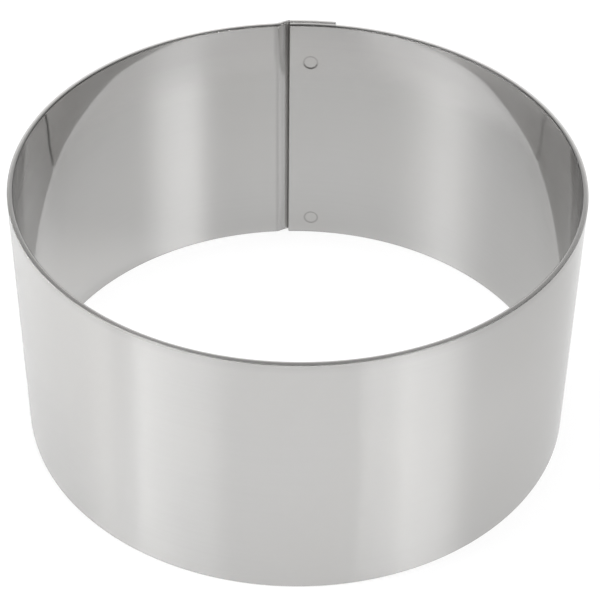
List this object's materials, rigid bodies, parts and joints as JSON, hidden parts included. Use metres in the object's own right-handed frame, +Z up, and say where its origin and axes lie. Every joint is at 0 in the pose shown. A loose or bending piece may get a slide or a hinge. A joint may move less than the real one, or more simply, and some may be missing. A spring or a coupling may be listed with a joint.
{
  "type": "pastry ring",
  "caption": "Open round ring of stainless sheet, its ends stepped, lapped and spot-welded, for shaping mousse, tarts and pastry.",
  "frame": {"origin": "on the ring's axis, in the plane of its lower rim", "axes": "+Z up along the ring's axis; +Y from the axis to the middle of the lap; seen from inside, the inner end of the strip is on the -X side of the lap"},
  "size_m": [0.09, 0.0909, 0.045],
  "materials": {
    "stainless_steel": "fine satin, grain running round the band"
  },
  "bodies": {
    "root": {"ring_band": "stainless_steel"}
  },
  "joints": []
}
